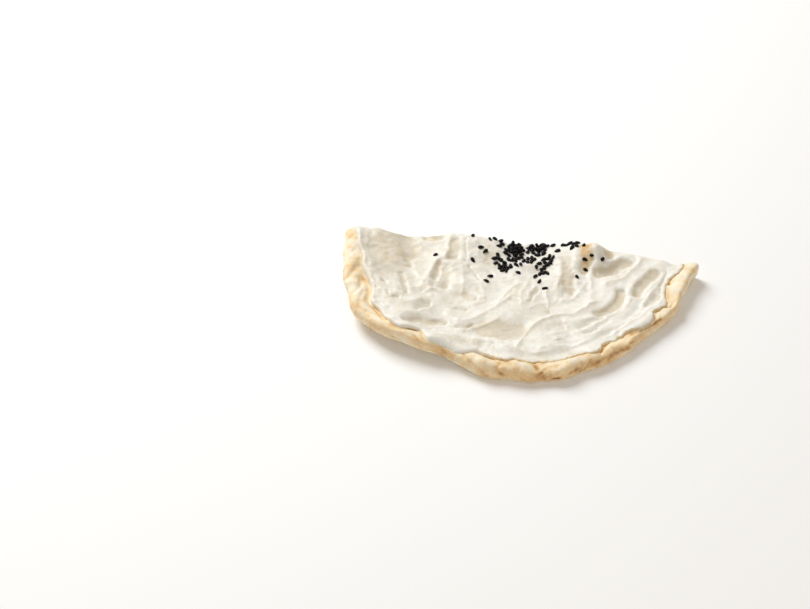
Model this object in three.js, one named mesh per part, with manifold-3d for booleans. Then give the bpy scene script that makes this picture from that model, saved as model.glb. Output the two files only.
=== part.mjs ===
// Half of a round flatbread (manakish), cut straight across the middle, spread with labneh
// (strained yoghurt) and sprinkled with black seeds where the knife went through.
//
// Two solids: the bread, and the spread with the seeds fused to it. All sizes are in
// millimetres. The half is drawn about the middle of its cut: the cut runs along X, the round
// edge faces -Y and +Z is up. Angles are in degrees from +X, so the round edge runs from 180 at
// the left corner, through 270 at the front, to 360 at the right corner. At the end the whole
// is moved so that the origin is the middle of its footprint on the table.
import * as THREE from "three";
import { mergeVertices } from "three/addons/utils/BufferGeometryUtils.js";
import Module from "manifold-3d";

const wasm = await Module();
wasm.setup();

// ---------------------------------------------------------------- driving dimensions
const ROUND_RADIUS = 108; // of the baked round that was halved, on average
const CUT_BOW = 9.5; // how far the middle of the cut stands out past its corners
const BREAD_THICKNESS = 4.6; // under the spread
const CRUST_ROUNDING = 5; // how far in from the edge the rim turns over
const CRUST_UNDERCUT = 4; // how far in the underside lifts off the table
const WIDEST_HEIGHT = 3.8; // height of the rim's widest line
const RIM_WIDTH = 17; // how far in the puffed rim starts to rise
const RIM_RISE = 4.6; // crest of the rim above the bread inside it
const LEAN_HEIGHT = 7; // how far the left end is bent up off the table
const LEAN_TOWARDS = 205; // the angle of the part that is lifted most
const LEAN_FROM = 50; // distance that way where the lift starts
const LEAN_TO = 100; // distance that way where it is full
const SPREAD_THICKNESS = 2.5;
const THINNEST_SPREAD = 1;
const SPREAD_EDGE_THICKNESS = 0.9;
const GAP = 0.3; // between the spread and the bread under it

const CRUMB_STEP = 5.6; // facet size on the bread and under the spread
const CREAM_STEP = 3.8; // facet size on top of the spread
const FLOOR_STEP = 14; // facet size on the flat underside

const SEED_LENGTH = 3.2;
const SEED_WIDTH = 2;
const SEED_HEIGHT = 1.5;
const SEED_SINK = 0.42; // share of its height that a seed is pressed into the spread

// ---------------------------------------------------------------- small maths
const radians = THREE.MathUtils.degToRad;
const mix = THREE.MathUtils.lerp;
const ease = (from, to, x) => THREE.MathUtils.smoothstep((x - from) / (to - from), 0, 1);
const hump = (x, centre, width) => Math.exp(-(((x - centre) / width) ** 2));
const sumHumps = (list, x) => list.reduce((total, [at, size, width]) => total + size * hump(x, at, width), 0);

// The same number between 0 and 1 each time for one grid corner.
function corner(i, j) {
  const wild = Math.sin(i * 127.1 + j * 311.7) * 43758.5453;
  return wild - Math.floor(wild);
}

// Smooth noise from -1 to 1 whose swells are about `size` across.
function swell(x, y, size) {
  const [u, v] = [x / size, y / size];
  const [i, j] = [Math.floor(u), Math.floor(v)];
  const [a, b] = [ease(0, 1, u - i), ease(0, 1, v - j)];
  const low = mix(corner(i, j), corner(i + 1, j), a);
  const high = mix(corner(i, j + 1), corner(i + 1, j + 1), a);
  return 2 * mix(low, high, b) - 1;
}

// Distance from a point to a line through several points.
function distanceToPath(x, y, path) {
  let nearest = Infinity;
  for (let k = 1; k < path.length; k++) {
    const [x0, y0] = path[k - 1];
    const [dx, dy] = [path[k][0] - x0, path[k][1] - y0];
    const along = THREE.MathUtils.clamp(((x - x0) * dx + (y - y0) * dy) / (dx * dx + dy * dy), 0, 1);
    nearest = Math.min(nearest, Math.hypot(x - x0 - along * dx, y - y0 - along * dy));
  }
  return nearest;
}

// A smooth curve through [angle, value] pairs.
function through(pairs, angle) {
  const last = pairs.length - 1;
  let k = 1;
  while (k < last && pairs[k][0] < angle) k++;
  const [a, b] = [pairs[k - 1], pairs[k]];
  const slope = (p, q) => (q[1] - p[1]) / (q[0] - p[0]);
  const [inward, outward] = [slope(pairs[Math.max(0, k - 2)], b), slope(a, pairs[Math.min(last, k + 1)])];
  const span = b[0] - a[0];
  const t = (angle - a[0]) / span;
  return (2 * t ** 3 - 3 * t ** 2 + 1) * a[1] + (t ** 3 - 2 * t ** 2 + t) * span * inward +
    (3 * t ** 2 - 2 * t ** 3) * b[1] + (t ** 3 - t ** 2) * span * outward;
}

// ---------------------------------------------------------------- outlines in plan
// [angle, distance from the middle of the cut to the round edge]
const ROUND = [
  [180, 113.3], [193, 113.2], [206, 116.6], [216, 120], [228, 114], [240, 107.2], [250, 101.8], [262, 106],
  [275, 105.5], [288, 105.9], [301, 103.4], [324, 102.4], [338, 104.3], [352, 106], [360, 110.5],
];
// [angle, width of the crust left without spread]
const BARE = [
  [180, 6], [187, 8.7], [200, 12.8], [210, 14.3], [218, 12.3], [225, 8.2], [231, 5.2], [236, 9.5], [242, 2.4],
  [250, 1.8], [254.5, 4.3], [259, 12], [264, 10.5], [269, 6.9], [275, 10.4], [284, 8.9], [294, 8.1],
  [302, 4.4], [306, 8.3], [313, 8.8], [321, 3.3], [327, 1.8], [332.5, 6.3], [338, 5.2], [347, 10],
  [354, 8.1], [360, 7.8],
];

const ripple = (angle, waves, from) => Math.sin(radians(angle * waves + from));
const outline = (angle) => through(ROUND, angle) + 0.5 * ripple(angle, 13, 40) + 0.35 * ripple(angle, 29, 0);
const bareRim = (angle) =>
  Math.max(1.8, through(BARE, angle) + 0.5 * ripple(angle, 23, 0) + 0.4 * ripple(angle, 41, 80));

// The knife's path is bowed out and not quite straight. Points further from the cut follow it less.
function place(angle, radius) {
  const x = radius * Math.cos(radians(angle));
  const y = radius * Math.sin(radians(angle));
  const bow = CUT_BOW * (1 - (x / ROUND_RADIUS) ** 2) + 0.5 * Math.sin(x / 9) + 0.3 * Math.sin(x / 4.1);
  return [x, y + bow * Math.max(0, 1 + y / ROUND_RADIUS) ** 2];
}

// ---------------------------------------------------------------- heights of the bread
// Blisters that the oven raised, as [x, y, height, width].
const BLISTERS = [
  [33, 1, 5, 14], [47, 3, 7.5, 9], [-40, 3, 5.4, 18], [-90, 0, 3.6, 15], [68, -22, 1.6, 12],
  [-2, -86, 1.6, 14], [66, 2, 1.6, 9], [92, 0, 2, 18],
];
// Creases that pinch the rim, as [angle, depth, width].
const PINCHES = [[229, 1.2, 2.5], [258, 1.2, 2], [304, 1.2, 3], [334, 1.2, 2.5]];

function lean(x, y) {
  const away = x * Math.cos(radians(LEAN_TOWARDS)) + y * Math.sin(radians(LEAN_TOWARDS));
  return LEAN_HEIGHT * ease(LEAN_FROM, LEAN_TO, away);
}

function blisters(x, y) {
  let total = 0;
  for (const [at, to, height, width] of BLISTERS) total += height * hump(Math.hypot(x - at, y - to), 0, width);
  return total;
}

// Crest of the rim above the bread inside, uneven along the edge.
const rimRise = (angle) => RIM_RISE + 1.2 * hump(angle, 275, 25) + 0.7 * ripple(angle, 11, 60) +
  0.55 * ripple(angle, 24, 0) - sumHumps(PINCHES, angle);

// Top of the bread at a distance `inset` from its round edge.
function breadTop(angle, inset, x, y) {
  const floor = lean(x, y);
  const inside = floor + BREAD_THICKNESS + 0.6 * swell(x, y, 21) + blisters(x, y);
  const crest = inside + rimRise(angle) * ease(RIM_WIDTH, CRUST_ROUNDING, inset);
  if (inset >= CRUST_ROUNDING) return crest;
  const widest = floor + WIDEST_HEIGHT;
  return widest + (crest - widest) * Math.sqrt(1 - (1 - inset / CRUST_ROUNDING) ** 2);
}

// Underside at a distance `inset` from the round edge.
function breadUnder(inset, x, y) {
  const turned = Math.min(1, inset / CRUST_UNDERCUT);
  return lean(x, y) + WIDEST_HEIGHT * (1 - Math.sqrt(1 - (1 - turned) ** 2));
}

// ---------------------------------------------------------------- heights of the spread
// Marks of the spoon, as [depth, width, path]: dents take away, ridges and dabs add.
const DENTS = [
  [2, 4.6, [[51, -17], [67, -5]]],
  [1.9, 4.2, [[73, -30], [84, -11]]],
  [2.2, 4, [[64, -34], [66, -42], [52, -52]]],
  [1.4, 5, [[-72, -6], [-71, -26]]],
  [1.3, 5, [[-42, 1], [-42, -18]]],
  [1.2, 6, [[-31, -46], [-25, -47]]],
  [1.5, 6.5, [[30, -10], [30, -36]]],
  [0.9, 12, [[-18, -76], [6, -76]]],
  [1.1, 7, [[-62, -86], [-38, -91]]],
];
const RIDGES = [
  [1.5, 10, [[-51, -32], [-47, -26]]],
  [1.3, 7, [[20, -31], [21, -25]]],
  [0.9, 3.2, [[47, -12], [46, -38]]],
  [1.1, 6, [[58, -38], [62, -32]]],
  [0.9, 4, [[-100, -8], [-97, -40]]],
  [0.9, 2.6, [[7, -84], [18, -61], [38, -52]]],
  [0.8, 2.6, [[-35, -67], [-5, -46]]],
  [0.8, 2.6, [[-32, -78], [-10, -67]]],
  [0.7, 2.8, [[-70, -81], [-34, -72]]],
];

const strokes = (list, x, y) =>
  list.reduce((total, [size, width, path]) => total + size * hump(distanceToPath(x, y, path), 0, width), 0);

// Long strokes that follow the round edge at the right front.
function sweeps(angle, radius) {
  const there = ease(278, 296, angle) * ease(352, 336, angle) * ease(66, 76, radius);
  return 0.45 * there * Math.sin((radius + 0.08 * (angle - 300)) / 1.5);
}

function spreadDepth(angle, radius, share, x, y) {
  const full = SPREAD_THICKNESS + strokes(RIDGES, x, y) - strokes(DENTS, x, y) + sweeps(angle, radius) +
    0.5 * swell(x + 50, y, 15) + 0.3 * swell(x, y + 90, 7) - 0.5 * hump(Math.hypot(x - 41, y + 6), 0, 10);
  return mix(Math.max(THINNEST_SPREAD, full), SPREAD_EDGE_THICKNESS, ease(0.95, 1, share));
}

// ---------------------------------------------------------------- sheets of triangles
// A sheet holds points, its rows of point numbers from the middle outwards, and its faces.
// Every point also knows how far along its row it is, so that rows of different lengths join.
function stitch(faces, rowA, rowB, flip) {
  let [i, j] = [0, 0];
  while (i < rowA.length - 1 || j < rowB.length - 1) {
    const nextA = i < rowA.length - 1 ? rowA[i].t + rowA[i + 1].t : Infinity;
    const nextB = j < rowB.length - 1 ? rowB[j].t + rowB[j + 1].t : Infinity;
    const third = nextA <= nextB ? rowA[++i] : rowB[++j];
    const [a, b] = nextA <= nextB ? [rowA[i - 1], rowB[j]] : [rowA[i], rowB[j - 1]];
    faces.push(...(flip ? [a.id, b.id, third.id] : [a.id, third.id, b.id]));
  }
}

// Rings of a half disc. Each ring is {at(angle) -> [x, y, z], radius}, and gets points about
// `step` apart. The innermost ring has radius 0 and is a single point.
function halfDisc(solid, rings, step, flip) {
  const rows = rings.map(({ at, radius }) => {
    const pieces = radius ? Math.max(4, Math.round((Math.PI * radius) / step)) : 0;
    return Array.from({ length: pieces + 1 }, (_, k) => {
      const t = pieces ? k / pieces : 0;
      solid.points.push(...at(180 + 180 * t));
      return { id: solid.points.length / 3 - 1, t };
    });
  });
  for (let k = 1; k < rows.length; k++) stitch(solid.faces, rows[k - 1], rows[k], flip);
  return rows;
}

// The sheet's edge along the cut, from the left corner to the right one.
function cutEdge(solid, rows) {
  const ends = [...rows].reverse().map((row) => row[0]).concat(rows.slice(1).map((row) => row.at(-1)));
  const x = ({ id }) => solid.points[3 * id];
  return ends.map((end) => ({ id: end.id, t: x(end) }));
}

function closedSolid(topRings, topStep, underRings, underStep) {
  const solid = { points: [], faces: [] };
  const top = halfDisc(solid, topRings, topStep, true);
  const under = halfDisc(solid, underRings, underStep, false);
  stitch(solid.faces, top.at(-1), under.at(-1), true);
  stitch(solid.faces, cutEdge(solid, top), cutEdge(solid, under), false);
  return new THREE.BufferGeometry()
    .setAttribute("position", new THREE.Float32BufferAttribute(solid.points, 3))
    .setIndex(solid.faces);
}

// ---------------------------------------------------------------- the two surfaces
const spreadEdge = (angle) => outline(angle) - bareRim(angle);
const shares = (count) => Array.from({ length: count + 1 }, (_, k) => k / count);

// A ring at a share of the way from the middle of the cut to the edge of the spread.
function spreadRing(share, height) {
  const at = (angle) => {
    const radius = share * spreadEdge(angle);
    const [x, y] = place(angle, radius);
    return [x, y, height(angle, radius, share, x, y)];
  };
  return { at, radius: share * ROUND_RADIUS };
}

// A ring on the bare rim, at a distance from the round edge.
function rimRing(insetAt, height) {
  const at = (angle) => {
    const inset = insetAt(angle);
    const [x, y] = place(angle, outline(angle) - inset);
    return [x, y, height(angle, inset, x, y)];
  };
  return { at, radius: ROUND_RADIUS };
}

const underSpread = (angle, radius, share, x, y) => breadTop(angle, outline(angle) - radius, x, y);
const bottomOfSpread = (...where) => underSpread(...where) + GAP;
const topOfSpread = (...where) => bottomOfSpread(...where) + spreadDepth(...where);
const underside = (angle, inset, x, y) => breadUnder(inset, x, y);

const breadShares = shares(Math.round(ROUND_RADIUS / CRUMB_STEP)).toSpliced(-1, 0, 0.985);
const creamShares = shares(Math.round(ROUND_RADIUS / CREAM_STEP)).toSpliced(-1, 0, 0.985);
const turnOver = [1, 2, 3, 4].map((k) => 1 - Math.sin((k / 4) * (Math.PI / 2)));

function breadGeometry() {
  const top = breadShares.map((share) => spreadRing(share, underSpread));
  top.push(...turnOver.map((share) => rimRing((angle) => share * bareRim(angle), breadTop)));
  const inner = [0, 0.35, 0.7, 0.95].map((share) =>
    spreadRing(share, (angle, radius, _, x, y) => breadUnder(outline(angle) - radius, x, y)));
  const lip = [0.9, 0.5, 0.15].map((share) => rimRing(() => share * CRUST_UNDERCUT, underside));
  return closedSolid(top, CRUMB_STEP * 0.75, [...inner, ...lip], FLOOR_STEP / 2);
}

function spreadGeometry() {
  const top = creamShares.map((share) => spreadRing(share, topOfSpread));
  const under = breadShares.map((share) => spreadRing(share, bottomOfSpread));
  return closedSolid(top, CREAM_STEP, under, CRUMB_STEP * 0.75);
}

// ---------------------------------------------------------------- solids and joins
function toSolid(geometry) {
  const bare = geometry.clone();
  for (const name of ["normal", "uv"]) bare.deleteAttribute(name);
  const merged = mergeVertices(bare, 1e-3);
  const triVerts = new Uint32Array(merged.index.array);
  return new wasm.Manifold(
    new wasm.Mesh({ numProp: 3, vertProperties: merged.attributes.position.array, triVerts }),
  );
}

function toGeometry(solid) {
  const { vertProperties, triVerts, numProp } = solid.getMesh();
  const points = vertProperties.filter((_, k) => k % numProp < 3);
  return new THREE.BufferGeometry()
    .setAttribute("position", new THREE.Float32BufferAttribute(points, 3))
    .setIndex(new THREE.Uint32BufferAttribute(triVerts, 1));
}

// Pockets that the join seals and crumbs that it leaves loose are dropped, and so are its slivers.
const largest = (solid) => solid.decompose().reduce((a, b) => (a.volume() > b.volume() ? a : b));
const tidy = (solid) => largest(toSolid(toGeometry(largest(solid).simplify(0.05))));

// ---------------------------------------------------------------- seeds
// A teardrop: an octahedron rounded once, narrower towards +X.
function seedGeometry() {
  const geometry = new THREE.OctahedronGeometry(1, 1);
  const points = geometry.attributes.position;
  for (let k = 0; k < points.count; k++) {
    const taper = 1 - 0.3 * points.getX(k);
    points.setXYZ(
      k,
      (points.getX(k) * SEED_LENGTH) / 2,
      (points.getY(k) * taper * SEED_WIDTH) / 2,
      (points.getZ(k) * taper * SEED_HEIGHT) / 2,
    );
  }
  return geometry;
}

// A seeded draw of numbers between 0 and 1.
function drawer(state) {
  return () => {
    state = (state * 1664525 + 1013904223) % 4294967296;
    return state / 4294967296;
  };
}

// Heaps are [how many, x, y, half length, half width, lean]: the pinch of seeds at the middle of
// the cut, its trail into the spread, a row along the cut, and the thin scatter round them.
const HEAPS = [
  [44, -4, -1, 14, 9, 0], [21, 14, 4, 9, 7, 0], [9, 17, -10, 10, 3, 75], [6, 31, 8, 8, 2.5, 0],
  [7, -22, 1, 8, 8, 0], [6, 5, -8, 42, 20, 0],
];
const STRAYS = [
  [-55, -10], [-32, 8], [-30, -11], [-22, -26], [-19, -14], [17, -30], [12, -23], [36, -17], [42, -11],
  [40, -5], [43, -1], [51, -3], [-4, -16], [-11, -19], [-23, 7.5], [-17, 7.6], [-12, 8],
];

function seedPlaces() {
  const draw = drawer(5307);
  const places = STRAYS.map(([x, y]) => [x, y]);
  for (const [count, x, y, long, wide, lean] of HEAPS) {
    const [c, s] = [Math.cos(radians(lean)), Math.sin(radians(lean))];
    for (let tries = 0, made = 0; made < count && tries < 40 * count; tries++) {
      const [spin, reach] = [2 * Math.PI * draw(), Math.sqrt(draw())];
      const [u, v] = [long * reach * Math.cos(spin), wide * reach * Math.sin(spin)];
      const spot = [x + u * c - v * s, y + u * s + v * c];
      const clear = places.every(([px, py]) => Math.hypot(px - spot[0], py - spot[1]) > 1.2 * SEED_WIDTH);
      if (!clear || spot[1] > place(180, -spot[0])[1] - SEED_LENGTH / 3) continue;
      places.push(spot);
      made++;
    }
  }
  return places;
}

// Height of the spread under a point given by its place in plan.
function spreadHeight(x, y) {
  const angle = 180 + THREE.MathUtils.radToDeg(Math.atan2(Math.max(0, -y), -x));
  const radius = Math.hypot(x, Math.min(0, y));
  return topOfSpread(angle, radius, radius / spreadEdge(angle), x, y);
}

function seedSolids() {
  const draw = drawer(77);
  const shape = seedGeometry();
  return seedPlaces().map(([x, y]) => {
    const reach = SEED_LENGTH / 3;
    const slopeX = (spreadHeight(x + reach, y) - spreadHeight(x - reach, y)) / (2 * reach);
    const slopeY = (spreadHeight(x, y + reach) - spreadHeight(x, y - reach)) / (2 * reach);
    const up = new THREE.Vector3(-slopeX, -slopeY, 1).normalize();
    const lie = new THREE.Quaternion().setFromUnitVectors(new THREE.Vector3(0, 0, 1), up);
    const turn = new THREE.Quaternion().setFromAxisAngle(new THREE.Vector3(0, 0, 1), 2 * Math.PI * draw());
    const size = mix(0.88, 1.1, draw());
    const height = spreadHeight(x, y) + SEED_HEIGHT * (0.5 - SEED_SINK);
    const pose = new THREE.Matrix4().compose(
      new THREE.Vector3(x, y, height), lie.multiply(turn), new THREE.Vector3(size, size, size));
    return toSolid(shape.clone().applyMatrix4(pose));
  });
}

// ---------------------------------------------------------------- the half
const crust = new THREE.MeshStandardMaterial({ color: "#e3c08a", roughness: 0.75, metalness: 0 });
const cream = new THREE.MeshStandardMaterial({ color: "#f1ece0", roughness: 0.4, metalness: 0 });

// The origin goes to the middle of the footprint, on the table.
const breadAlone = breadGeometry();
breadAlone.computeBoundingBox();
const middle = breadAlone.boundingBox.getCenter(new THREE.Vector3()).setZ(breadAlone.boundingBox.min.z);
const away = middle.negate();

function bread() {
  const mesh = new THREE.Mesh(breadAlone.translate(...away.toArray()), crust);
  mesh.name = "bread";
  return mesh;
}

function spreadWithSeeds() {
  const joined = wasm.Manifold.union([toSolid(spreadGeometry()), ...seedSolids()]);
  const mesh = new THREE.Mesh(toGeometry(tidy(joined.translate(away.toArray()))), cream);
  mesh.name = "labneh";
  return mesh;
}

const half = new THREE.Group();
half.add(bread(), spreadWithSeeds());

export default half;
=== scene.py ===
"""Looks of the half manakish: puffed bread, a thick spread of labneh and black seeds at the cut.

Shapes are worked out in millimetres, about the middle of the cut: the cut runs along X, the
round edge faces -Y and +Z is up. Angles are in degrees, from 180 at the left corner, through
270 at the front, to 360 at the right corner. Each finished mesh is then moved onto the model.
"""

import math

import bmesh
import bpy
import numpy as np
from mathutils import Matrix, Vector


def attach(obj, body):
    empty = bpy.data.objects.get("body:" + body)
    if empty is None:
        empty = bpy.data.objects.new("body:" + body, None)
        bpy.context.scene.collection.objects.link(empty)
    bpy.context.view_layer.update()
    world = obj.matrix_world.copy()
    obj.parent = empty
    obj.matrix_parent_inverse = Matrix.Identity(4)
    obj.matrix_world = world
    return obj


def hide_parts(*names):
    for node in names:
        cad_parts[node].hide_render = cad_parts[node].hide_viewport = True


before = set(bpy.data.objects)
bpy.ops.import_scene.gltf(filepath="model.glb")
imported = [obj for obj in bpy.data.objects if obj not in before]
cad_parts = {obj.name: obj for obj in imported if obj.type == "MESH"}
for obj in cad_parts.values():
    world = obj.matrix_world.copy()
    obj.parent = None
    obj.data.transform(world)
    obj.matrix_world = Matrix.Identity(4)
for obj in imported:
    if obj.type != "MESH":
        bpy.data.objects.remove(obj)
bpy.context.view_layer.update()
scene = bpy.context.scene

# ---------------------------------------------------------------- sizes, in millimetres
MM = 0.001
TO_MODEL = np.array([1.08, 47.80, 0.0])  # from the middle of the cut to the model's origin

ROUND_RADIUS = 108
MARK_RADIUS = 106  # the radius at which angles of the rim's marks are turned into lengths
CUT_BOW = 9.5
BREAD_THICKNESS = 4.6
CRUST_ROUNDING = 5
CRUST_UNDERCUT = 4
WIDEST_HEIGHT = 3.8
RIM_WIDTH = 17
RIM_RISE = 4.6
LEAN_HEIGHT = 7
LEAN_TOWARDS = 205
LEAN_FROM = 50
LEAN_TO = 100
SPREAD_THICKNESS = 2.5
LEAST_SPREAD = 0.35
GAP = 0.3
SEED_LENGTH = 3.9
SEED_WIDTH = 2.5
SEED_HEIGHT = 1.9

# [angle, distance from the middle of the cut to the round edge]
ROUND = [
    (180, 113.3), (193, 113.2), (206, 116.6), (216, 120), (228, 114), (240, 107.2), (250, 101.8),
    (262, 106), (275, 105.5), (288, 105.9), (301, 103.4), (324, 102.4), (338, 104.3), (352, 106),
    (360, 110.5),
]
# [angle, width of the crust left without spread]
BARE = [
    (180, 6), (187, 8.7), (200, 12.8), (210, 14.3), (218, 12.3), (225, 8.2), (231, 5.2), (236, 9.5),
    (242, 2.4), (250, 1.8), (254.5, 4.3), (259, 12), (264, 10.5), (269, 6.9), (275, 10.4),
    (284, 8.9), (294, 8.1), (302, 4.4), (306, 8.3), (313, 8.8), (321, 3.3), (327, 1.8),
    (332.5, 6.3), (338, 5.2), (347, 10), (354, 8.1), (360, 7.8),
]
# Blisters that the oven raised: (x, y, height, width)
BLISTERS = [
    (33, 1, 5, 14), (47, 3, 7.5, 9), (-40, 3, 5.4, 18), (-90, 0, 3.6, 15), (68, -22, 1.6, 12),
    (-2, -86, 1.6, 14), (66, 2, 1.6, 9), (92, 0, 2, 18),
]
# Creases that pinch the rim: (angle, depth, width)
PINCHES = [(229, 1.2, 2.5), (258, 1.2, 2), (304, 1.2, 3), (334, 1.2, 2.5)]


# ---------------------------------------------------------------- small maths
def ease(start, end, x):
    t = np.clip((x - start) / (end - start), 0, 1)
    return t * t * (3 - 2 * t)


def hump(x, centre, width):
    return np.exp(-(((x - centre) / width) ** 2))


def mix(a, b, t):
    return a + (b - a) * t


def through(pairs, angle):
    """A smooth curve through (angle, value) pairs."""
    keys = np.array(pairs, float)
    last = len(keys) - 1
    k = np.clip(np.searchsorted(keys[:, 0], angle), 1, last)
    a, b = keys[k - 1], keys[k]

    def slope(p, q):
        return (q[..., 1] - p[..., 1]) / (q[..., 0] - p[..., 0])

    inward = slope(keys[np.maximum(k - 2, 0)], b)
    outward = slope(a, keys[np.minimum(k + 1, last)])
    span = b[..., 0] - a[..., 0]
    t = (angle - a[..., 0]) / span
    return (
        (2 * t**3 - 3 * t**2 + 1) * a[..., 1]
        + (t**3 - 2 * t**2 + t) * span * inward
        + (3 * t**2 - 2 * t**3) * b[..., 1]
        + (t**3 - t**2) * span * outward
    )


def corner(i, j):
    wild = np.sin(i * 127.1 + j * 311.7) * 43758.5453
    return wild - np.floor(wild)


def swell(x, y, size):
    """Smooth noise from -1 to 1, the same as in the solids."""
    u, v = x / size, y / size
    i, j = np.floor(u), np.floor(v)
    a, b = ease(0, 1, u - i), ease(0, 1, v - j)
    low = mix(corner(i, j), corner(i + 1, j), a)
    high = mix(corner(i, j + 1), corner(i + 1, j + 1), a)
    return 2 * mix(low, high, b) - 1


def grain(x, y, size, seed=0.0):
    """Gradient noise from about -1 to 1, with lumps about size across."""
    u, v = x / size + seed * 17.3, y / size - seed * 9.1
    i, j = np.floor(u), np.floor(v)
    fu, fv = u - i, v - j
    a = fu**3 * (fu * (fu * 6 - 15) + 10)
    b = fv**3 * (fv * (fv * 6 - 15) + 10)

    def pull(di, dj):
        turn = 2 * math.pi * corner(i + di, j + dj)
        return np.cos(turn) * (fu - di) + np.sin(turn) * (fv - dj)

    return 1.5 * mix(mix(pull(0, 0), pull(1, 0), a), mix(pull(0, 1), pull(1, 1), a), b)


def lumps(x, y, size, seed=0.0, octaves=3):
    total, share = 0, 1
    for k in range(octaves):
        total = total + share * grain(x, y, size / 2**k, seed + 3.7 * k)
        share *= 0.5
    return total


def creases(x, y, size, seed=0.0):
    """1 along narrow wandering lines, falling to 0 between them."""
    return (1 - np.minimum(1, np.abs(grain(x, y, size, seed)) * 2.2)) ** 3


def ripple(angle, waves, start):
    return np.sin(np.radians(angle * waves + start))


def from_path(x, y, path):
    """Offset of each point from the nearest spot of the path."""
    off_x, off_y, nearest = 0.0, 0.0, np.full(np.shape(x), 1e9)
    for (x0, y0), (x1, y1) in zip(path, path[1:]):
        dx, dy = x1 - x0, y1 - y0
        length = max(dx * dx + dy * dy, 1e-9)
        along = np.clip(((x - x0) * dx + (y - y0) * dy) / length, 0, 1)
        to_x, to_y = x - x0 - along * dx, y - y0 - along * dy
        off = np.hypot(to_x, to_y)
        off_x, off_y = np.where(off < nearest, to_x, off_x), np.where(off < nearest, to_y, off_y)
        nearest = np.minimum(nearest, off)
    return off_x, off_y


def distance_to_path(x, y, path):
    return np.hypot(*from_path(x, y, path))


def scoops(marks, x, y):
    """Sum of (size, width, path) marks, each a trough of about that half width. It deepens
    slowly from the back left and ends in a steep bank at the front right, as the spoon left it."""
    total = np.zeros(np.shape(x))
    for size, width, path in marks:
        away = 0.15 * width
        off_x, off_y = from_path(x - away, y + away, path)
        off = np.hypot(off_x, off_y)
        ahead = (off_x - off_y) / np.maximum(1.414 * off, 1e-6)
        total += size * np.exp(-((off * (1 + 0.4 * ahead) / width) ** 3))
    return total


def crests(marks, x, y):
    """Sum of (size, width, path) marks, each a sharp crest between two hollow flanks."""
    total = np.zeros(np.shape(x))
    for size, width, path in marks:
        away = 0.3 * width
        off = np.sqrt(distance_to_path(x - away, y + away, path) ** 2 + 0.16) - 0.4
        total += size * np.exp(-off / width)
    return total


# ---------------------------------------------------------------- outlines in plan
def outline(angle):
    return through(ROUND, angle) + 0.5 * ripple(angle, 13, 40) + 0.35 * ripple(angle, 29, 0)


def ragged(angle):
    """How ragged the spread's border is: 0 at the left, 1 at the front and right."""
    return ease(256, 268, angle)


def feathered(angle):
    """How far the spread's border thins out: 0 at the left, 1 at the front and right."""
    return ease(262, 276, angle)


def bare_rim(angle):
    wobble = 0.5 * ripple(angle, 23, 0) + 0.4 * ripple(angle, 41, 80)
    across = 0 * angle + 0.7
    tongues = 1.2 * grain(angle, across, 2.4, 61) + 0.35 * grain(angle, across, 1.1, 67)
    return np.maximum(1.8, through(BARE, angle) + wobble + ragged(angle) * tongues)


def spread_edge(angle):
    return outline(angle) - bare_rim(angle)


def bow(x):
    return CUT_BOW * (1 - (x / ROUND_RADIUS) ** 2) + 0.5 * np.sin(x / 9) + 0.3 * np.sin(x / 4.1)


def place(angle, radius):
    x = radius * np.cos(np.radians(angle))
    y = radius * np.sin(np.radians(angle))
    return x, y + bow(x) * np.maximum(0, 1 + y / ROUND_RADIUS) ** 2


def polar(x, y):
    """The angle and radius that place() puts at (x, y)."""
    flat = np.minimum(0, y)
    for _ in range(12):
        flat = np.minimum(0, y - bow(x) * np.maximum(0, 1 + flat / ROUND_RADIUS) ** 2)
    angle = 180 + np.degrees(np.arctan2(-flat, -x))
    return np.where(flat >= 0, np.where(x < 0, 180.0, 360.0), angle), np.hypot(x, flat)


# ---------------------------------------------------------------- heights of the bread
def lean(x, y):
    turn = math.radians(LEAN_TOWARDS)
    return LEAN_HEIGHT * ease(LEAN_FROM, LEAN_TO, x * math.cos(turn) + y * math.sin(turn))


def blisters(x, y):
    return sum(size * hump(np.hypot(x - at, y - to), 0, width) for at, to, size, width in BLISTERS)


def rim_rise(angle):
    pinched = sum(depth * hump(angle, at, width) for at, depth, width in PINCHES)
    return (
        RIM_RISE + 1.2 * hump(angle, 275, 25) + 0.7 * ripple(angle, 11, 60)
        + 0.55 * ripple(angle, 24, 0) - pinched
    )


def fuller(angle):
    """1 at the front, where the rim is puffed up most."""
    return hump(angle, 275, 24)


def crust_rounding(angle):
    return CRUST_ROUNDING + 2.5 * fuller(angle)


def bread_crest(angle, inset, x, y):
    inside = lean(x, y) + BREAD_THICKNESS + 0.6 * swell(x, y, 21) + blisters(x, y)
    return inside + rim_rise(angle) * ease(RIM_WIDTH, CRUST_ROUNDING, inset)


def bread_top(angle, inset, x, y):
    crest = bread_crest(angle, inset, x, y)
    widest = lean(x, y) + WIDEST_HEIGHT
    turned = 1 - np.clip(inset / crust_rounding(angle), 0, 1)
    return np.where(turned <= 0, crest, widest + (crest - widest) * np.sqrt(1 - turned**2))


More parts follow.
